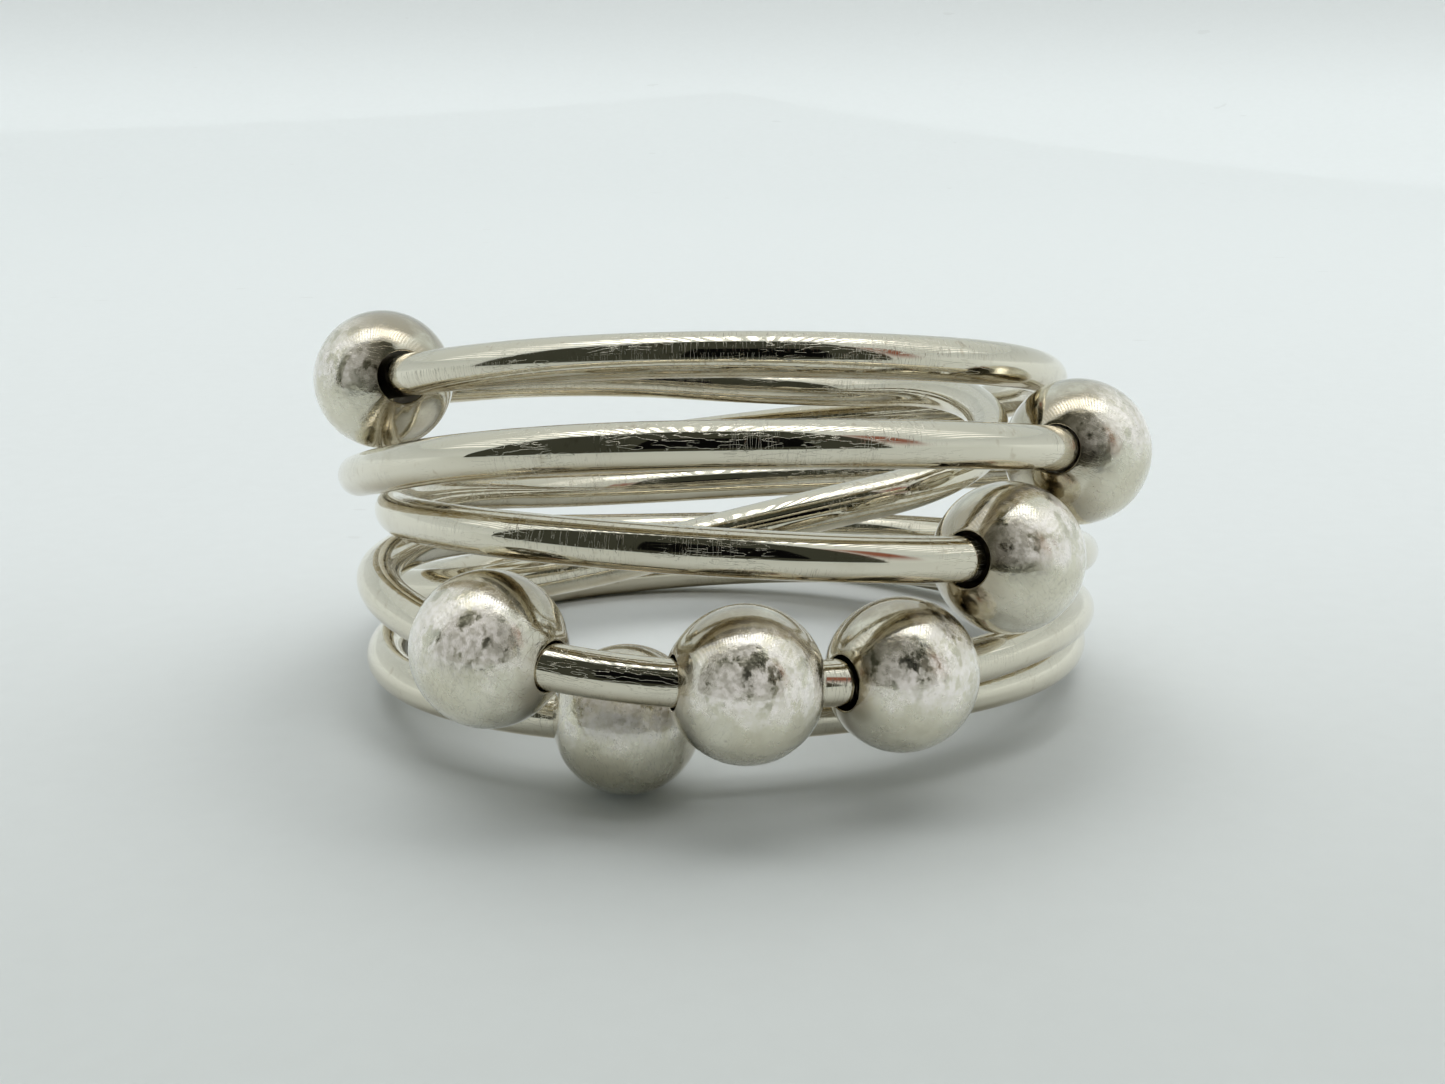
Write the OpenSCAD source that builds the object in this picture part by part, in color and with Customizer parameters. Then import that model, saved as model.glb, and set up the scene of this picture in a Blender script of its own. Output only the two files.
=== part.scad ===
// A finger ring of one endless round wire, wound in six turns, with seven loose balls threaded on it.
// X runs to the right, Y to the back and Z up. The ring stands on the plane z = 0.

/* [Wire] */
// thickness of the round wire
wire_d = 1.2; // [1:0.05:1.25]

/* [Balls] */
// diameter of each ball
ball_d = 4; // [3.6:0.1:4]
// diameter of the straight hole through each ball
hole_d = 1.6; // [1.55:0.05:1.7]
// width of the worn bevel round each mouth of the hole
bevel_w = 0.12; // [0.05:0.01:0.2]

/* [Where the balls sit] */
// ball 1, in quarter turns along the wire from the left of the top turn
ball_1_at = 0.23; // [0.2:0.01:0.8]
// ball 2, in quarter turns along the wire from the left of the top turn
ball_2_at = 5.7; // [5.7:0.01:5.8]
// ball 3, in quarter turns along the wire from the left of the top turn
ball_3_at = 9.55; // [9.54:0.01:9.56]
// ball 4, in quarter turns along the wire from the left of the top turn
ball_4_at = 12.6; // [12.55:0.01:12.7]
// ball 5, in quarter turns along the wire from the left of the top turn
ball_5_at = 16.87; // [16.84:0.01:16.9]
// ball 6, in quarter turns along the wire from the left of the top turn
ball_6_at = 13.06; // [13.04:0.01:13.07]
// ball 7, in quarter turns along the wire from the left of the top turn
ball_7_at = 13.3; // [13.29:0.01:13.31]

/* [Hidden] */

turns = 6;
stations = 4; // left, front, right and back of each turn
steps = turns * stations;
ring_middle = [0.45, 0.05, -0.02]; // where the bent wire's own origin sits, from the ring's
joint_len = 0.28; // a joint is a short sleeve over the ends of two bends
joint_swell = 0.015; // it stands this much proud of the wire
stop_short = 0.08; // each bend ends this far from the joint's middle
solder_at = 19; // the knot where the wire is closed, low at the back

// Each list holds one point a turn, from the top turn down. The last turn climbs back inside.
lefts = [[-10.45, 1.3, 9.1], [-10.2, -0.15, 6.65], [-9.05, -1.4, 6.05], [-9.2, -4.05, 4.85],
    [-9.9, 0.15, 1.2], [-10.6, 5.55, 1.5]];
fronts = [[1.55, -8.45, 11.6], [-0.35, -12.45, 10.05], [-0.5, -12.25, 7.45], [0.05, -12.45, 4.1],
    [-0.05, -9.25, 2], [-1.9, -5.15, 5.4]];
rights = [[10.3, 1.35, 9], [11.5, -0.6, 7.15], [10.95, -2.15, 4.8], [11.2, -0.15, 2.75],
    [11.5, 2.2, 1.1], [8.7, 0.25, 8]];
backs = [[0.25, 10.85, 5.75], [-0.45, 9.45, 4.15], [0.25, 7.3, 3], [-0.35, 10.1, 0.75],
    [-0.15, 13.55, 0.75], [-0.45, 10.6, 7.6]];

function unit(v) = v / norm(v);

// A point of the wire's centre line, counted in quarter turns, and the way the wire runs there.
function knot(i) = let(k = (i + steps) % steps) [lefts, fronts, rights, backs][k % stations][floor(k / stations)]
    - ring_middle;
function heading(i) = unit(knot(i + 1) - knot(i - 1));

// Two bends join one knot to the next. They meet at the knee, where both run the same way.
function leg(v, s, t) = let(b = v * (s + t), k = 2 * (1 - s * t)) (sqrt(b * b + k * v * v) - b) / k;
function knee(i) = let(p = knot(i), q = knot(i + 1), s = heading(i), t = heading(i + 1), d = leg(q - p, s, t))
    (p + q + d * (s - t)) / 2;

// A bend from p, setting off along t, to q: [centre, radius, direction of p, t, angle].
function bend(p, t, q) = let(c = q - p, w = c - (c * t) * t)
    [p + c * c / (2 * w * w) * w, c * c / (2 * norm(w)), -unit(w), t, 2 * atan2(norm(w), c * t)];
function bend_out(i) = bend(knot(i), heading(i), knee(i));
function bend_back(i) = bend(knot(i + 1), -heading(i + 1), knee(i));
function knee_heading(i) = let(b = bend_out(i)) cos(b[4]) * b[3] - sin(b[4]) * b[2];

// Places its children at o, with their X along x and their Y along y.
module at(o, x, y) {
    z = cross(x, y);
    multmatrix([[x.x, y.x, z.x, o.x], [x.y, y.y, z.y, o.y], [x.z, y.z, z.z, o.z], [0, 0, 0, 1]]) children();
}

module draw_bend(b) {
    trim = stop_short / b[1] * 180 / PI;
    at(b[0], b[2], b[3]) rotate([0, 0, trim]) rotate_extrude(angle = b[4] - 2 * trim, $fn = 96)
        translate([b[1], 0]) circle(d = wire_d, $fn = 32);
}

// A sleeve at p, where the wire runs along t.
module joint(p, t) {
    side = unit(cross(t, [0, 0, 1]));
    at(p, side, cross(t, side)) cylinder(h = joint_len, d = wire_d + 2 * joint_swell, center = true, $fn = 32);
}

module wire() {
    color("silver") for (i = [0:steps - 1]) {
        draw_bend(bend_out(i));
        draw_bend(bend_back(i));
        if (i != solder_at) joint(knot(i), heading(i));
        joint(knee(i), knee_heading(i));
    }
}

// The wire's two ends meet here.
module solder() {
    color("silver") joint(knot(solder_at), heading(solder_at));
}

// A ball whose hole runs along Y.
module ball() {
    mouth = sqrt(ball_d * ball_d - hole_d * hole_d) / 2;
    rotate([90, 0, 0]) difference() {
        sphere(d = ball_d, $fn = 96);
        cylinder(h = 2 * ball_d, d = hole_d, center = true, $fn = 64);
        for (over = [0, 1]) mirror([0, 0, over]) translate([0, 0, mouth - bevel_w])
            cylinder(h = 3 * bevel_w, d1 = hole_d, d2 = hole_d + 6 * bevel_w, $fn = 64);
    }
}

// A ball threaded on the wire. The wire bows inside it, so the hole's axis is set half the bow inwards.
module ball_on_wire(s) {
    i = floor(s);
    f = s - i;
    b = f < 0.5 ? bend_out(i) : bend_back(i);
    turned = b[4] * (f < 0.5 ? 2 * f : 2 - 2 * f);
    bow = (ball_d * ball_d - hole_d * hole_d) / 4 / (2 * b[1]);
    color("silver") at(b[0], b[2], b[3]) rotate([0, 0, turned]) translate([b[1] - bow / 2, 0, 0]) ball();
}

module ball_1() { ball_on_wire(ball_1_at); }
module ball_2() { ball_on_wire(ball_2_at); }
module ball_3() { ball_on_wire(ball_3_at); }
module ball_4() { ball_on_wire(ball_4_at); }
module ball_5() { ball_on_wire(ball_5_at); }
module ball_6() { ball_on_wire(ball_6_at); }
module ball_7() { ball_on_wire(ball_7_at); }

wire();
solder();
ball_1();
ball_2();
ball_3();
ball_4();
ball_5();
ball_6();
ball_7();
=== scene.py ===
"""A finger ring of one endless silver wire in six turns, with seven loose silver balls threaded on it."""

import math

import bpy
from mathutils import Matrix, Vector, noise


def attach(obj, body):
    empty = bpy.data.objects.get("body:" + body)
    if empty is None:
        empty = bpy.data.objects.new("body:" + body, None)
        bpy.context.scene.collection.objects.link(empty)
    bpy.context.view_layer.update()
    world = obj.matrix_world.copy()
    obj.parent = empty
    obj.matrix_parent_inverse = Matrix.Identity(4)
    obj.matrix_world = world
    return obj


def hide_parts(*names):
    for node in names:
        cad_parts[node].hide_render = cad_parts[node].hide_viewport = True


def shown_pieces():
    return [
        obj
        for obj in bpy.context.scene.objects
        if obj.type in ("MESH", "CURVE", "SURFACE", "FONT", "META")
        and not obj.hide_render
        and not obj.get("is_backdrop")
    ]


MM = 0.001
FULL_TURN = 2 * math.pi

# The wire's route, as in the CAD source, in mm: one point a turn on each side, from the top turn down.
RING_MIDDLE = Vector((0.45, 0.05, -0.02))
LEFTS = [(-10.45, 1.3, 9.1), (-10.2, -0.15, 6.65), (-9.05, -1.4, 6.05), (-9.2, -4.05, 4.85),
         (-9.9, 0.15, 1.2), (-10.6, 5.55, 1.5)]
FRONTS = [(1.55, -8.45, 11.6), (-0.35, -12.45, 10.05), (-0.5, -12.25, 7.45), (0.05, -12.45, 4.1),
          (-0.05, -9.25, 2), (-1.9, -5.15, 5.4)]
RIGHTS = [(10.3, 1.35, 9), (11.5, -0.6, 7.15), (10.95, -2.15, 4.8), (11.2, -0.15, 2.75),
          (11.5, 2.2, 1.1), (8.7, 0.25, 8)]
BACKS = [(0.25, 10.85, 5.75), (-0.45, 9.45, 4.15), (0.25, 7.3, 3), (-0.35, 10.1, 0.75),
         (-0.15, 13.55, 0.75), (-0.45, 10.6, 7.6)]
SIDES = [LEFTS, FRONTS, RIGHTS, BACKS]
STEPS = len(LEFTS) * len(SIDES)
SOLDER_AT = 19

# Where each ball sits, in quarter turns along the wire.
BALLS_AT = {"ball_1": 0.23, "ball_2": 5.7, "ball_3": 9.55, "ball_4": 12.6, "ball_5": 16.87,
            "ball_6": 13.06, "ball_7": 13.3}

# Degrees that each sliding ball travels round the upright axis of its bend. The other balls only spin.
TRAVEL = {"ball_1": (-20, 38), "ball_2": (0, 18), "ball_4": (-10, 18), "ball_5": (-8, 7), "ball_6": (-3, 1)}

# Lengths in mm.
WIRE_R = 0.6
WIRE_WAVER = 0.004  # how far the wire's radius strays
RING_STEP = 0.3  # between two rings of the wire's vertices
WIRE_SIDES = 40

SEAM_HALF = 0.16  # half the solder seam's length
SEAM_ROWS = 10
SEAM_SUNK = 0.004
SEAM_SWELL = 0.018
SEAM_WAVER = 0.003

BALL_R = 2.0
HOLE_R = 0.8
BALL_SIDES = 112
BALL_ROWS = 72
BORE_ROWS = 5
LIP_ROWS = 7
LIP_WIDTH = 0.06  # the hole's worn mouth has a rounded lip
LIP_DEPTH = 0.08
THROAT = 0.25  # from the bore's end up to the lip, over which the hole narrows to its mouth
MOUTH_GAP = 0.045  # between the wire and the mouth, at the tightest point of the ball's travel
MOUTH_Z = 1.87
BY_MOUTH_R = 1.2  # the wire crosses a mouth's level within this radius only where it goes through the mouth
BY_MOUTH_Z = 1
LEAN_END_R = 1.25  # a mouth that is off centre pulls the skin round it along, less and less out to this radius
LEAN_FADE = 0.4
DENT_DEPTH = 0.0035  # as a share of the ball's radius
SEED_STEP = 9.1


# ---- the wire's route ----

def knot(i):
    k = i % STEPS
    return Vector(SIDES[k % len(SIDES)][k // len(SIDES)]) - RING_MIDDLE


def heading(i):
    return (knot(i + 1) - knot(i - 1)).normalized()


def knee(i):
    """Where the two bends between knot i and the next meet."""
    p, q, s, t = knot(i), knot(i + 1), heading(i), heading(i + 1)
    v = q - p
    b = v.dot(s + t)
    k = 2 * (1 - s.dot(t))
    d = (math.sqrt(b * b + k * v.dot(v)) - b) / k
    return (p + q + d * (s - t)) / 2


class Bend:
    """An arc from p, setting off along t, to q."""

    def __init__(self, p, t, q):
        chord = q - p
        across = chord - chord.dot(t) * t
        self.radius = chord.dot(chord) / (2 * across.length)
        self.x = -across.normalized()
        self.y = t
        self.centre = p - self.radius * self.x
        self.angle = 2 * math.atan2(across.length, chord.dot(t))

    def out(self, a):
        """The direction from the centre at angle a."""
        return math.cos(a) * self.x + math.sin(a) * self.y

    def point(self, a):
        return self.centre + self.radius * self.out(a)


def bend_out(i):
    """The bend that sets off from knot i."""
    return Bend(knot(i), heading(i), knee(i))


def bend_back(i):
    """The bend that comes in to the knot after i, taken backwards from that knot."""
    return Bend(knot(i + 1), -heading(i + 1), knee(i))


def bend_at(s):
    """The bend at s quarter turns along the wire."""
    i = math.floor(s)
    return bend_out(i) if s - i < 0.5 else bend_back(i)


def route():
    """Points along the wire's middle, once round all its turns, about RING_STEP apart."""
    points = []
    for i in range(STEPS):
        for bend, forward in ((bend_out(i), True), (bend_back(i), False)):
            count = max(2, round(bend.radius * bend.angle / RING_STEP))
            for j in range(count):
                share = j / count
                points.append(bend.point(bend.angle * (share if forward else 1 - share)))
    return points


# ---- meshes ----

def add_object(name, data):
    obj = bpy.data.objects.new(name, data)
    bpy.context.scene.collection.objects.link(obj)
    return obj


def new_piece(name, verts, faces, uvs=None):
    """A smooth mesh object. Its vertices are in mm; uvs holds a corner's (u, v) for each corner of each face."""
    mesh = bpy.data.meshes.new(name)
    mesh.from_pydata([tuple(v * MM) for v in verts], [], faces)
    if uvs:
        layer = mesh.uv_layers.new(name="along_wire")
        for corner, uv in zip(layer.data, (uv for face in uvs for uv in face)):
            corner.uv = uv
    mesh.shade_smooth()
    return add_object(name, mesh)


def tube(name, points, closed, radius_at):
    """A round tube along points. radius_at(s) is its radius in mm at s mm along it. UVs are in mm: along, around."""
    count = len(points)
    ahead = [points[(i + 1) % count] - points[i - 1] for i in range(count)]
    if not closed:
        ahead[0], ahead[-1] = points[1] - points[0], points[-1] - points[-2]
    ways = [a.normalized() for a in ahead]
    sides = [ways[0].cross(Vector((0, 0, 1))).normalized()]
    for i in range(1, count + 1):
        way = ways[i % count]
        sides.append((sides[-1] - sides[-1].dot(way) * way).normalized())
    # a closed tube's frame comes back turned, so that turn is shared out along it
    twist = 0.0
    if closed:
        twist = math.atan2(sides[count].cross(sides[0]).dot(ways[0]), sides[count].dot(sides[0]))
    lengths = [0.0]
    for i in range(1, count + 1):
        lengths.append(lengths[-1] + (points[i % count] - points[i - 1]).length)
    verts = []
    for i in range(count):
        up = ways[i].cross(sides[i])
        r = radius_at(lengths[i])
        for k in range(WIRE_SIDES):
            a = FULL_TURN * k / WIRE_SIDES + twist * i / count
            verts.append(points[i] + r * (math.cos(a) * sides[i] + math.sin(a) * up))
    faces, uvs = [], []
    around = FULL_TURN * WIRE_R
    for i in range(count if closed else count - 1):
        n = (i + 1) % count
        for k in range(WIRE_SIDES):
            m = (k + 1) % WIRE_SIDES
            faces.append((i * WIRE_SIDES + k, n * WIRE_SIDES + k, n * WIRE_SIDES + m, i * WIRE_SIDES + m))
            v0, v1 = around * k / WIRE_SIDES, around * (k + 1) / WIRE_SIDES
            uvs.append(((lengths[i], v0), (lengths[i + 1], v0), (lengths[i + 1], v1), (lengths[i], v1)))
    if not closed:
        for ring, turn in ((0, 1), (count - 1, -1)):
            cap = tuple(range(ring * WIRE_SIDES, (ring + 1) * WIRE_SIDES))[::turn]
            faces.append(cap)
            uvs.append(tuple((lengths[ring], 0.0) for _ in cap))
    return new_piece(name, verts, faces, uvs)


def ball_profile(mouth_r):
    """(radius, height, is bore) from the middle of the bore out over the lip to the ball's equator, in mm."""
    lip_r = mouth_r + LIP_WIDTH
    lip_z = math.sqrt(BALL_R ** 2 - lip_r ** 2)
    corner_z = lip_z + (lip_r - mouth_r) * lip_r / lip_z
    wall_z = lip_z - LIP_DEPTH
    rows = [(HOLE_R, (wall_z - THROAT) * j / BORE_ROWS, True) for j in range(BORE_ROWS + 1)]
    for j in range(LIP_ROWS):  # a quadratic curve from the mouth's wall to the ball's skin
        t = j / LIP_ROWS
        r = (1 - t) ** 2 * mouth_r + 2 * t * (1 - t) * mouth_r + t * t * lip_r
        z = (1 - t) ** 2 * wall_z + 2 * t * (1 - t) * corner_z + t * t * lip_z
        rows.append((r, z, False))
    start = math.asin(lip_r / BALL_R)
    half = BALL_ROWS // 2
    for j in range(half + 1):
        a = start + (math.pi / 2 - start) * j / half
        rows.append((BALL_R * math.sin(a), BALL_R * math.cos(a), False))
    return rows


def dented(v, seed):
    """A point on the ball's skin, pushed in by wear."""
    place = v + Vector((seed * SEED_STEP, 0, 0))
    dent = 0.5 + 0.5 * noise.noise(place * 0.9) + 0.3 * noise.noise(place * 2.3)
    return v * (1 - DENT_DEPTH * max(0.0, dent))


def ball_mesh(name, seed, mouths, turn):
    """A ball with its hole along Z before turn is applied to its vertices, dented by wear.

    mouths holds (radius, x, y) of its +Z and -Z mouth. The second material slot is the bore.
    """
    upper = ball_profile(mouths[0][0])
    lower = [(r, -z, bore) for r, z, bore in reversed(ball_profile(mouths[1][0])[1:-1])]
    rows = upper + lower
    verts, faces, bores = [], [], []
    for r, z, bore in rows:
        for k in range(BALL_SIDES):
            a = FULL_TURN * k / BALL_SIDES
            v = Vector((r * math.cos(a), r * math.sin(a), z))
            if not bore:
                v = dented(v, seed)
            if abs(z) > BY_MOUTH_Z:
                _, lean_x, lean_y = mouths[int(z < 0)]
                v += Vector((lean_x, lean_y, 0)) * min(1.0, max(0.0, (LEAN_END_R - r) / LEAN_FADE))
            verts.append(turn @ v)
    count = len(rows)
    for i in range(count):
        n = (i + 1) % count
        for k in range(BALL_SIDES):
            m = (k + 1) % BALL_SIDES
            faces.append((i * BALL_SIDES + k, i * BALL_SIDES + m, n * BALL_SIDES + m, n * BALL_SIDES + k))
            bores.append(rows[i][2] and rows[n][2])
    obj = new_piece(name, verts, faces)
    for polygon, bore in zip(obj.data.polygons, bores):
        polygon.material_index = int(bore)
    return obj


# ---- materials ----

class Nodes:
    """Short ways to add and join shader nodes in one tree."""

    def __init__(self, tree):
        self.tree = tree
        tree.nodes.clear()

    def add(self, kind, **settings):
        """A node. A setting that names an input sets or joins it; any other is the node's own property."""
        made = self.tree.nodes.new(kind)
        inputs = {socket.name.replace(" ", "_").lower(): socket for socket in made.inputs}
        for key, value in settings.items():
            if key in inputs:
                self.set(inputs[key], value)
            else:
                setattr(made, key, value)
        return made

    def set(self, socket, value):
        if isinstance(value, bpy.types.NodeSocket):
            self.tree.links.new(value, socket)
        elif isinstance(value, bpy.types.Node):
            self.tree.links.new(value.outputs[0], socket)
        else:
            socket.default_value = value

    def set_in_order(self, node, *values):
        for socket, value in zip(node.inputs, values):
            self.set(socket, value)

    def output(self, shader, kind="ShaderNodeOutputMaterial"):
        self.set(self.add(kind).inputs["Surface"], shader)

    def math(self, operation, a, b=0.0, c=0.0):
        made = self.add("ShaderNodeMath", operation=operation)
        self.set_in_order(made, a, b, c)
        return made.outputs[0]

    def times(self, a, b):
        return self.math("MULTIPLY", a, b)

    def most(self, a, b):
        return self.math("MAXIMUM", a, b)

    def distance(self, value, middle):
        """How far value is from middle."""
        return self.math("ABSOLUTE", self.math("SUBTRACT", value, middle))

    def range(self, value, low, high, to_low=0.0, to_high=1.0):
        """value from low..high moved smoothly to to_low..to_high."""
        made = self.add("ShaderNodeMapRange", interpolation_type="SMOOTHSTEP")
        self.set_in_order(made, value, low, high, to_low, to_high)
        return made.outputs[0]

    def split(self, vector):
        """The x, y and z of a vector."""
        return tuple(self.add("ShaderNodeSeparateXYZ", vector=vector).outputs)

    def mix(self, factor, a, b):
        """A colour between a and b, which are each an input or a red, green and blue."""
        made = self.add("ShaderNodeMix", data_type="RGBA")
        self.set(made.inputs[0], factor)
        for socket, colour in zip(made.inputs[6:8], (a, b)):
            self.set(socket, (*colour, 1) if isinstance(colour, tuple) else colour)
        return made.outputs[2]

    def layers(self, tone, *layers):
        """tone with layers of (mask, strength, colour) laid over it, the last on top."""
        for mask, strength, colour in layers:
            tone = self.mix(self.times(mask, strength), tone, colour)
        return tone

    def blend(self, factor, a, b):
        """A shader between a and b."""
        made = self.add("ShaderNodeMixShader")
        self.set_in_order(made, factor, a, b)
        return made

    def noise(self, vector, scale, detail, seed, rough=0.5):
        made = self.tree.nodes.new("ShaderNodeTexNoise")
        made.noise_dimensions = "4D"
        self.set(made.inputs["Vector"], vector)
        self.set(made.inputs["W"], seed)
        self.set(made.inputs["Scale"], scale)
        self.set(made.inputs["Detail"], detail)
        self.set(made.inputs["Roughness"], rough)
        return made.outputs[0]

    def mapped(self, vector, scale=(1, 1, 1), turn=(0, 0, 0)):
        return self.add("ShaderNodeMapping", vector=vector, rotation=turn, scale=scale).outputs[0]

    def hairlines(self, vector, seed, stretch, turn, width):
        """Thin lines, 1 on a line and 0 between: where a stretched noise crosses its middle."""
        wave = self.noise(self.mapped(vector, stretch, (0, 0, turn)), scale=1, detail=2, seed=seed)
        line = self.range(self.distance(wave, 0.5), 0, width, to_low=1, to_high=0)
        patch = self.noise(vector, scale=0.35, detail=1, seed=seed + 5)
        return self.times(line, self.range(patch, 0.44, 0.56))

    def bump(self, height, distance, strength=1.0, over=None):
        """The normal that height gives, times distance in mm, laid over another normal."""
        made = self.add("ShaderNodeBump", strength=strength, distance=distance * MM, height=height)
        if over:
            self.set(made.inputs["Normal"], over)
        return made.outputs[0]


def new_material(name):
    material = bpy.data.materials.new(name)
    material.use_nodes = True
    return material, Nodes(material.node_tree)


def metal(name, **settings):
    material, n = new_material(name)
    shader = n.add("ShaderNodeBsdfPrincipled", metallic=1.0, **settings)
    n.output(shader)
    return material, n, shader


def in_mm(n, turn=None):
    """The piece's own coordinates, in mm, as they were before turn was applied to its vertices."""
    place = n.add("ShaderNodeTexCoord").outputs["Object"]
    turned_back = tuple(turn.inverted().to_euler()) if turn else (0, 0, 0)
    return n.mapped(place, (1 / MM, 1 / MM, 1 / MM), turned_back)


def wire_material():
    """Drawn silver wire: mirror bright, with fine lines along it, a few nicks across it, thin tarnish and painted
    shade below and on its inner side.
    """
    material, n, shader = metal("wire_silver")
    place = in_mm(n)
    along = n.add("ShaderNodeUVMap", uv_map="along_wire").outputs[0]

    # brown tarnish in patches, painted darker below and on the side that faces into the ring: painted shade where
    # the turns shelter each other
    facing_x, facing_y, facing_z = n.split(n.add("ShaderNodeTexCoord").outputs["Normal"])
    x, y, _ = n.split(place)
    outward = n.math("MULTIPLY_ADD", facing_x, x, n.times(facing_y, y))
    below = n.range(facing_z, -0.95, -0.2, to_low=1, to_high=0)
    painted_underside_shade = n.most(below, n.range(outward, -11, -4, to_low=0.3, to_high=0))
    patchy = n.noise(n.mapped(place, (1, 1, 1.5)), scale=0.6, detail=5, seed=3)
    tarnish = n.times(painted_underside_shade, n.range(patchy, 0.25, 0.65, to_low=0.3))
    tarnish = n.most(tarnish, n.range(patchy, 0.6, 0.8, to_high=0.3))
    specks = n.range(n.noise(place, scale=3.2, detail=3, seed=8), 0.6, 0.75)
    draw_lines = n.noise(n.mapped(along, (0.12, 9, 1)), scale=1, detail=4, seed=1)
    nicks = n.hairlines(along, seed=11, stretch=(9, 0.9, 1), turn=0.35, width=0.012)
    scuffs = n.hairlines(along, seed=17, stretch=(1.2, 7, 1), turn=0.25, width=0.012)

    silver = n.mix(n.noise(place, scale=0.2, detail=2, seed=5), (0.8, 0.76, 0.65), (0.75, 0.7, 0.57))
    n.set(shader.inputs["Base Color"], n.layers(
        silver,
        (tarnish, 1, (0.42, 0.34, 0.2)),
        (specks, 0.35, (0.4, 0.32, 0.2)),
        (nicks, 0.45, (0.3, 0.26, 0.2))))

    rough = n.range(n.noise(place, scale=1.1, detail=4, seed=21), 0.4, 0.7, to_low=0.03, to_high=0.1)
    rough = n.math("ADD", rough, n.times(scuffs, 0.15))
    n.set(shader.inputs["Roughness"], n.math("ADD", rough, n.times(tarnish, 0.06)))

    normal = n.bump(n.noise(place, scale=0.55, detail=2, seed=31), 0.012)
    normal = n.bump(draw_lines, 0.0009, over=normal)
    normal = n.bump(n.math("ADD", nicks, scuffs), -0.002, over=normal)
    n.set(shader.inputs["Normal"], normal)
    return material


def ball_material(seed, turn):
    """Worn silver: mottled and softly hazed, with hairline scratches, brown tarnish round the hole and a pale
    painted sheen on the upper half of its rubbed side.
    """
    # a polished coat over the haze: sharp reflections stay, fainter
    material, n, shader = metal(f"ball_silver_{seed}", coat_weight=1.0, coat_roughness=0.06, coat_ior=2.2)
    place = in_mm(n, turn)
    x, y, z = n.split(place)
    up = math.copysign(1.0, turn[2][1])  # which way along the turned Y axis is up in the ring

    # the side that faces out of the ring is rubbed dull, and the rest stays bright but tarnished
    wander = n.times(n.noise(place, scale=0.7, detail=3, seed=seed + 50), 1.6)
    rubbed = n.range(n.math("ADD", x, wander), 0.9, 2.5)

    # a pale milky bloom in sharp-edged flecks on the rubbed side, laid only on its upper half as painted sheen where
    # the overhead light catches the haze
    fleck = n.noise(n.mapped(place, (1, 1, 1.3)), scale=1.9, detail=5, seed=seed + 80, rough=0.62)
    upper = n.range(n.math("MULTIPLY_ADD", y, up, n.times(fleck, 2.2)), 0.7, 1.5)
    bloom_and_painted_sheen = n.times(n.times(rubbed, upper), n.range(fleck, 0.4, 0.5))
    fine_fleck = n.noise(place, scale=5.5, detail=3, seed=seed + 90)
    bloom_and_painted_sheen = n.times(bloom_and_painted_sheen, n.range(fine_fleck, 0.38, 0.62, to_low=0.55))

    # tarnish stays by the hole, and in stains that are fainter where the ball is rubbed
    near_hole = n.range(n.math("ABSOLUTE", z), 1.45, 1.85)
    blotch = n.noise(place, scale=0.8, detail=4, seed=seed)
    tarnish = n.times(near_hole, n.range(blotch, 0.3, 0.65, to_low=0.35))
    stain = n.range(n.noise(place, scale=0.5, detail=5, seed=seed + 40, rough=0.6), 0.36, 0.58)
    stain = n.times(stain, n.range(rubbed, 0, 1, to_low=0.85, to_high=0.12))
    tarnish = n.most(tarnish, stain)
    pits = n.range(n.noise(place, scale=5, detail=3, seed=seed + 9), 0.63, 0.74)

    one_way = n.mapped(place, turn=(0.3 * seed, 0.5, 0.2))
    other_way = n.mapped(place, turn=(1.1, 0.2 * seed, 0.7))
    scratches = n.most(n.hairlines(one_way, seed=seed + 60, stretch=(1.1, 7, 2), turn=0.4, width=0.02),
                       n.hairlines(other_way, seed=seed + 70, stretch=(6, 1, 2), turn=0.1, width=0.016))

    silver = n.mix(n.range(blotch, 0.35, 0.65), (0.82, 0.785, 0.64), (0.68, 0.635, 0.48))
    n.set(shader.inputs["Base Color"], n.layers(
        silver,
        (tarnish, 1, (0.36, 0.29, 0.17)),
        (bloom_and_painted_sheen, 0.9, (0.86, 0.82, 0.78)),
        (pits, 0.4, (0.4, 0.35, 0.28)),
        (scratches, 0.3, (0.36, 0.33, 0.27))))

    polished = 0.12
    haze = n.noise(place, scale=1.6, detail=5, seed=seed + 20, rough=0.6)
    dull = n.range(haze, 0.35, 0.66, to_low=0.22, to_high=0.42)
    rough = n.math("MULTIPLY_ADD", rubbed, n.math("SUBTRACT", dull, polished), polished)
    n.set(shader.inputs["Roughness"], n.math("ADD", rough, n.times(scratches, 0.1)))
    n.set(shader.inputs["Metallic"], n.math("MULTIPLY_ADD", bloom_and_painted_sheen, -0.8, 1.0))

    crumple = n.noise(place, scale=2.4, detail=4, seed=seed + 30, rough=0.55)
    normal = n.bump(n.times(crumple, n.range(rubbed, 0, 1, to_low=0.25)), 0.06)
    normal = n.bump(n.noise(place, scale=9, detail=3, seed=seed + 35), 0.0012, over=normal)
    normal = n.bump(scratches, -0.0012, over=normal)
    n.set(shader.inputs["Normal"], normal)
    return material


def bore_material():
    """The brown oxide inside a ball's hole."""
    material, n, shader = metal("bore_oxide")
    place = in_mm(n)
    shade = n.noise(place, scale=2.5, detail=4, seed=2)
    n.set(shader.inputs["Base Color"], n.mix(shade, (0.22, 0.185, 0.135), (0.42, 0.36, 0.27)))
    n.set(shader.inputs["Roughness"], n.range(shade, 0.3, 0.7, to_low=0.35, to_high=0.6))
    n.set(shader.inputs["Normal"], n.bump(n.noise(place, scale=6, detail=3, seed=4), 0.01))
    return material


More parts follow.
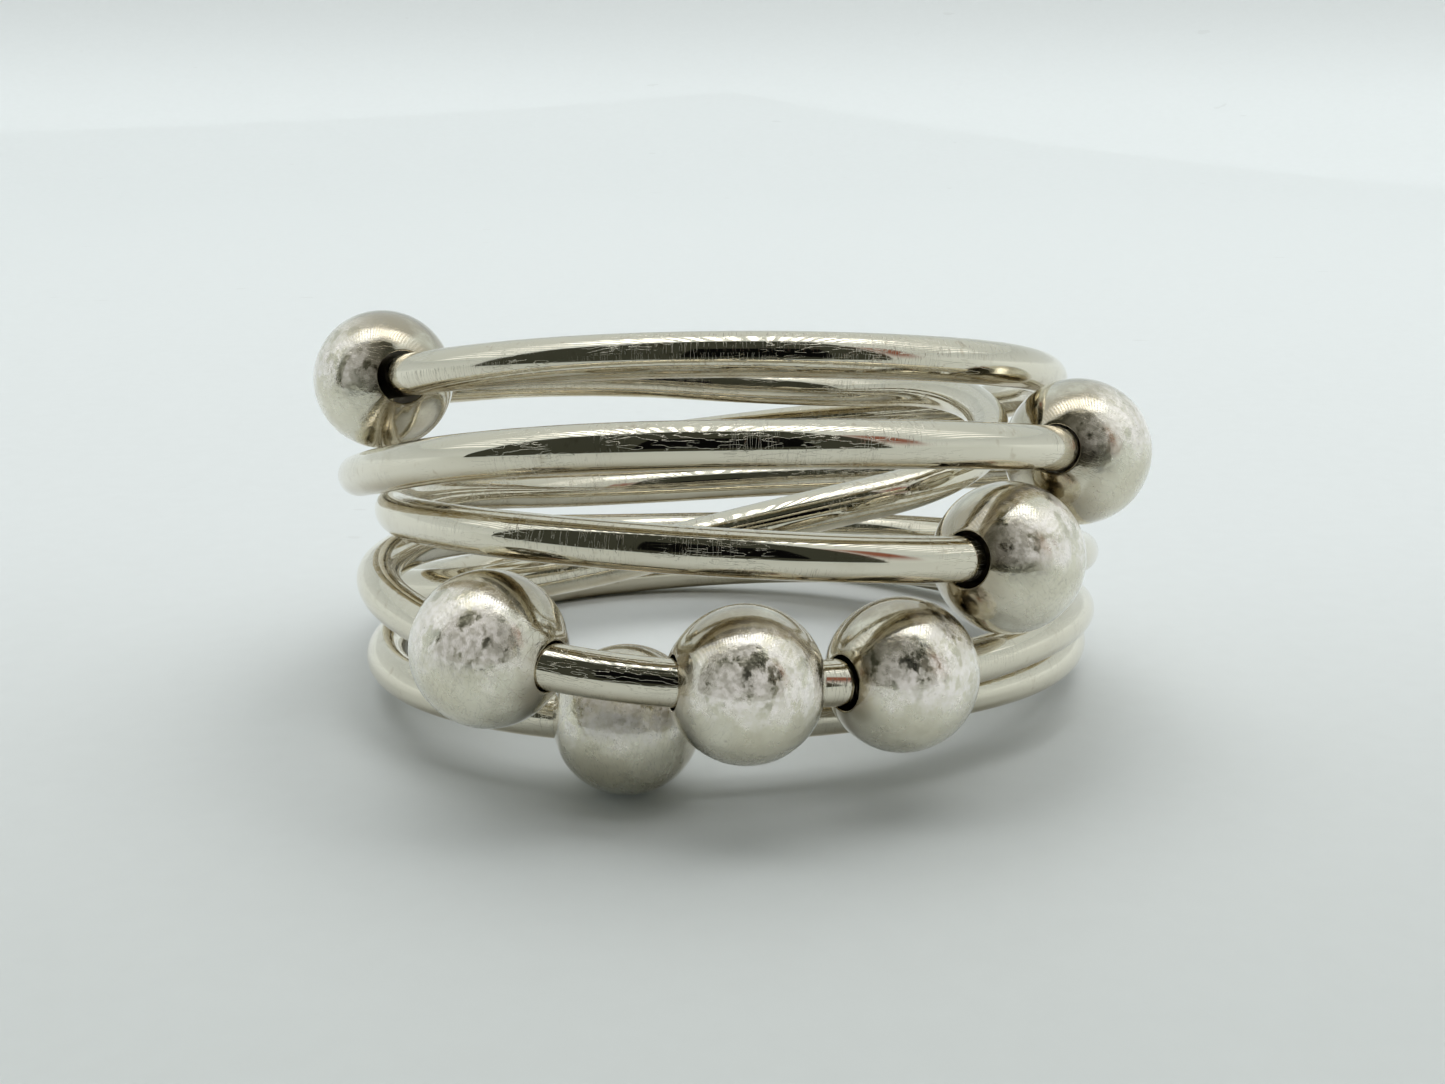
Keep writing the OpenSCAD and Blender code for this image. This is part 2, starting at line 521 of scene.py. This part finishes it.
def solder_material():
    """The seam's solder: a little greyer and duller than the wire."""
    material, n, shader = metal("solder_silver")
    grain = n.noise(in_mm(n), scale=4, detail=4, seed=6)
    n.set(shader.inputs["Base Color"], n.mix(grain, (0.72, 0.7, 0.64), (0.56, 0.53, 0.45)))
    n.set(shader.inputs["Roughness"], n.range(grain, 0.3, 0.7, to_low=0.18, to_high=0.36))
    n.set(shader.inputs["Normal"], n.bump(grain, 0.008))
    return material


def floor_material():
    """Pale matt paper, with painted shade: darker in front and where it curves up."""
    material, n = new_material("floor_paper")
    shader = n.add("ShaderNodeBsdfPrincipled", roughness=0.55, specular_ior_level=0.3)
    place = in_mm(n)
    _, y, z = n.split(place)
    # painted shade: the paper darkens towards the front
    paper = n.mix(n.range(y, -42, 24), (0.68, 0.715, 0.705), (0.88, 0.92, 0.93))
    fibre = n.noise(place, scale=1.2, detail=4, seed=1)
    marks = n.range(n.noise(n.mapped(place, (0.5, 1, 1)), scale=0.45, detail=2, seed=3), 0.74, 0.76)
    n.set(shader.inputs["Base Color"], n.layers(
        paper,
        # painted shade: the paper darkens where it curves up
        (n.range(z, 10, 34), 1, (0.7, 0.73, 0.735)),
        (fibre, 0.06, (0.3, 0.3, 0.28)),
        (marks, 0.1, (0.35, 0.35, 0.32))))
    n.set(shader.inputs["Normal"], n.bump(fibre, 0.02, strength=0.4))
    n.output(shader)
    return material


# ---- the object ----

def make_wire():
    def radius_at(s):
        return WIRE_R + WIRE_WAVER * noise.noise(Vector((s * 0.3, 0, 0)))

    wire = tube("coil_wire", route(), True, radius_at)
    wire.data.materials.append(wire_material())
    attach(wire, "wire")
    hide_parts("wire")


def make_solder():
    """A thin bead of solder round the seam, thickest in its middle."""
    before, after = bend_back(SOLDER_AT - 1), bend_out(SOLDER_AT)
    points = [before.point(SEAM_HALF * (1 - j / SEAM_ROWS) / before.radius) for j in range(SEAM_ROWS)]
    points += [after.point(SEAM_HALF * j / SEAM_ROWS / after.radius) for j in range(SEAM_ROWS + 1)]

    def radius_at(s):
        swell = math.cos(math.pi / 2 * min(1.0, abs(s - SEAM_HALF) / SEAM_HALF))
        return WIRE_R - SEAM_SUNK + SEAM_SWELL * swell + SEAM_WAVER * noise.noise(Vector((s * 20, 0, 0)))

    seam = tube("solder_seam", points, False, radius_at)
    seam.data.materials.append(solder_material())
    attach(seam, "wire")
    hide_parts("solder")


def wire_bow(bend):
    """How far the wire's middle strays from a straight line inside a ball on that bend, in mm."""
    return (BALL_R ** 2 - HOLE_R ** 2) / (2 * bend.radius)


def ball_place(s):
    """The matrix that puts a ball on the wire at s quarter turns, its hole along the wire and its X axis outward.

    The ball's middle lies half the wire's bow inward of the wire's middle.
    """
    share = s - math.floor(s)
    bend = bend_at(s)
    turned = bend.angle * (2 * share if share < 0.5 else 2 - 2 * share)
    out = bend.out(turned)
    way = bend.out(turned + math.pi / 2)
    middle = (bend.centre + (bend.radius - wire_bow(bend) / 2) * out) * MM
    across = way.cross(out)
    return Matrix(((out.x, across.x, way.x, middle.x), (out.y, across.y, way.y, middle.y),
                   (out.z, across.z, way.z, middle.z), (0, 0, 0, 1)))


def mouth_clear_of_wire(name, s, end, path):
    """(radius, x, y) of the mouth at that end of the hole, clear of the wire all through the ball's travel."""
    bend = bend_at(s)
    if name not in TRAVEL:
        return WIRE_R + MOUTH_GAP + wire_bow(bend) / 2, 0.0, 0.0
    axis = bend.x.cross(bend.y)
    axis *= math.copysign(1.0, axis.z)
    to_centre = Matrix.Translation(bend.centre * MM)
    low, high = TRAVEL[name]
    spots = []  # where the wire crosses the mouth's level, with the ball at five places of its travel
    for angle in (low, low / 2, 0, high / 2, high):
        ridden = to_centre @ Matrix.Rotation(math.radians(angle), 4, axis) @ to_centre.inverted() @ ball_place(s)
        into_ball = ridden.inverted()
        local = [into_ball @ (point * MM) / MM for point in path]
        for i, here in enumerate(local):
            last = local[i - 1]
            before, after = last.z - end * MOUTH_Z, here.z - end * MOUTH_Z
            if before * after <= 0 and math.hypot(here.x, here.y) < BY_MOUTH_R:
                spots.append(last.lerp(here, before / (before - after)))
    far = max(((a, b) for a in spots for b in spots), key=lambda pair: (pair[0] - pair[1]).length)
    middle = (far[0] + far[1]) / 2
    reach = max((spot - middle).length for spot in spots)
    return WIRE_R + MOUTH_GAP + reach, middle.x, middle.y


def make_balls():
    path = route()
    bore = bore_material()
    for seed, (name, s) in enumerate(BALLS_AT.items(), 1):
        mouths = [mouth_clear_of_wire(name, s, end, path) for end in (1, -1)]
        place = ball_place(s)
        turn = place.to_3x3()
        ball = ball_mesh(name + "_worn", seed, mouths, turn)
        ball.data.materials.append(ball_material(seed, turn))
        ball.data.materials.append(bore)
        ball.matrix_world = Matrix.Translation(place.translation)
        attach(ball, name)
        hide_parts(name)


# ---- the studio ----

CAMERA_AT = (0.074, -55.01, 18.815)  # mm
CAMERA_DOWN = 14.63  # degrees below level
LENS, SENSOR_WIDTH = 45.75, 36  # mm

# Metres. The floor's flat part reaches out to FLAT_R.
FLAT_R = 0.2
FLOOR_BEND_R = 0.15
FLOOR_ROWS = 16
FLOOR_SIDES = 96

# Name, left and right x, foot and top as (y, z), in mm, and colour.
DARK_CARD = ("dark_card", -170, 48, (-47, 0.5), (-60, 200), (0.045, 0.048, 0.036))
BLACK_CARD = ("black_card", -14, 22, (-46.5, 9), (-48.5, 42), (0.003, 0.003, 0.003))
WARM_CARD = ("warm_card", 40, 82, (-46.5, 1), (-52, 90), (0.26, 0.1, 0.065))
SHADE_CARD = ("shade_card", -170, 120, (-62, 14), (-80, 240), (0.03, 0.03, 0.03))

# The tent that metal mirrors, and its row of lamps overhead, by direction.
WALL_LOW, WALL_HIGH = (0.58, 0.635, 0.63), (0.66, 0.7, 0.69)
LAMP_ROW_Y = 0.03
LAMP_SPACING = 0.055
LAMP_STRENGTH = 4.5
MATT_FILL = (0.44, 0.468, 0.466, 1)  # what lights matt surfaces is dimmer, so that the overhead lamp's shadows show

# Name, place and size in metres, watts and colour.
OVERHEAD = ("overhead", (0.04, 0.0, 0.4), 0.65, 1.25, (1, 0.99, 0.96))
FRONT = ("front", (0.03, -0.3, 0.3), 0.25, 0.8, (1, 0.97, 0.95))


def make_camera():
    data = bpy.data.cameras.new("camera")
    data.sensor_width = SENSOR_WIDTH
    data.lens = LENS
    data.clip_start, data.clip_end = 0.002, 20
    camera = add_object("camera", data)
    camera.location = Vector(CAMERA_AT) * MM
    camera.rotation_euler = (math.radians(90 - CAMERA_DOWN), 0, 0)
    bpy.context.scene.camera = camera


def make_floor():
    """Paper that lies flat round the ring and curves up far off on every side."""
    profile = [(FLAT_R, 0.0)]
    for j in range(1, FLOOR_ROWS + 1):
        a = math.pi / 2 * j / FLOOR_ROWS
        profile.append((FLAT_R + FLOOR_BEND_R * math.sin(a), FLOOR_BEND_R * (1 - math.cos(a))))
    verts, faces = [(0, 0, 0)], []
    for row, (r, z) in enumerate(profile):
        start = 1 + row * FLOOR_SIDES
        for k in range(FLOOR_SIDES):
            a = FULL_TURN * k / FLOOR_SIDES
            verts.append((r * math.cos(a), r * math.sin(a), z))
            m = (k + 1) % FLOOR_SIDES
            if row == 0:
                faces.append((0, start + k, start + m))
            else:
                faces.append((start - FLOOR_SIDES + k, start + k, start + m, start - FLOOR_SIDES + m))
    mesh = bpy.data.meshes.new("floor")
    mesh.from_pydata(verts, [], faces)
    mesh.shade_smooth()
    mesh.materials.append(floor_material())
    floor = add_object("floor", mesh)
    floor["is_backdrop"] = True


def make_card(name, left, right, foot, top, colour, soft=0.01, mirrored=True):
    """A leaning card that only polished metal sees, or only matt surfaces where it isn't mirrored.

    foot and top are the (y, z) of its edges, in mm, and soft is the share of it over which each edge fades.
    """
    corners = [(left, *foot), (right, *foot), (right, *top), (left, *top)]
    mesh = bpy.data.meshes.new(name)
    mesh.from_pydata([tuple(Vector(c) * MM) for c in corners], [], [(0, 1, 2, 3)])
    material, n = new_material(name)
    across, _, upward = n.split(n.add("ShaderNodeTexCoord").outputs["Generated"])
    inside = [n.range(n.distance(share, 0.5), 0.5 - soft, 0.5, to_low=1, to_high=0) for share in (across, upward)]
    glow = n.add("ShaderNodeEmission", color=(*colour, 1), strength=1.0)
    n.output(n.blend(n.times(*inside), n.add("ShaderNodeBsdfTransparent"), glow))
    mesh.materials.append(material)
    card = add_object(name, mesh)
    card.visible_camera = False
    card.visible_glossy = mirrored
    card.visible_diffuse = not mirrored
    card.visible_shadow = False
    card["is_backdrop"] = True


def make_cards():
    make_card(*DARK_CARD)
    make_card(*BLACK_CARD)
    make_card(*WARM_CARD, soft=0.4)
    make_card(*SHADE_CARD, soft=0.1, mirrored=False)


def make_world():
    """A pale tent: even light all round, with a row of long lamps that run away overhead."""
    world = bpy.data.worlds.new("tent")
    bpy.context.scene.world = world
    world.use_nodes = True
    n = Nodes(world.node_tree)
    x, y, z = n.split(n.add("ShaderNodeTexCoord").outputs["Generated"])

    strip = n.range(n.distance(y, LAMP_ROW_Y), 0.1, 0.28, to_low=1, to_high=0)
    strip = n.times(strip, n.range(z, 0.2, 0.3))
    strip = n.times(strip, n.range(n.math("ABSOLUTE", x), 0.3, 0.6, to_low=1, to_high=0.15))
    lamps = n.range(n.math("COSINE", n.times(x, FULL_TURN / LAMP_SPACING)), 0, 0.8)
    wall = n.add("ShaderNodeBackground", color=n.mix(n.range(z, 0, 0.9), WALL_LOW, WALL_HIGH), strength=1.0)
    glow = n.add("ShaderNodeBackground", color=(1, 1, 1, 1), strength=n.times(n.times(strip, lamps), LAMP_STRENGTH))
    tent = n.add("ShaderNodeAddShader")
    n.set_in_order(tent, wall, glow)

    fill = n.add("ShaderNodeBackground", color=MATT_FILL, strength=1.0)
    seen_by_matt = n.math("MINIMUM", n.add("ShaderNodeLightPath").outputs["Diffuse Depth"], 1.0)
    n.output(n.blend(seen_by_matt, tent, fill), "ShaderNodeOutputWorld")


def make_lamp(name, place, size, energy, color):
    """A soft round lamp, aimed at the ring, that polished metal doesn't mirror."""
    data = bpy.data.lights.new(name, "AREA")
    data.shape = "DISK"
    data.size = size
    data.energy = energy
    data.color = color
    lamp = add_object(name, data)
    lamp.location = place
    lamp.rotation_euler = Vector(place).to_track_quat("Z", "Y").to_euler()
    lamp.visible_camera = False
    lamp.visible_glossy = False
    return lamp


def make_lamps():
    make_lamp(*OVERHEAD)
    # fills the balls' pale bloom and painted sheen from the front without lighting the floor
    front = make_lamp(*FRONT)
    lit = bpy.data.collections.new("lit_from_the_front")
    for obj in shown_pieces():
        lit.objects.link(obj)
    front.light_linking.receiver_collection = lit


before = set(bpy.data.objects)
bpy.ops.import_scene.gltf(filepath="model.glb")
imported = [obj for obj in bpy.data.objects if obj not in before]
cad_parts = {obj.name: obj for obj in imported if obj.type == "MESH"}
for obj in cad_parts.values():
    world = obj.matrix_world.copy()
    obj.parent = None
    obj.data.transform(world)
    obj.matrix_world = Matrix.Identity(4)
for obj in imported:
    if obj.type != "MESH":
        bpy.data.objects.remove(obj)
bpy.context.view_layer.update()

make_camera()
make_wire()
make_solder()
make_balls()
make_floor()
make_cards()
make_world()
make_lamps()

bpy.context.scene.view_settings.view_transform = "Standard"
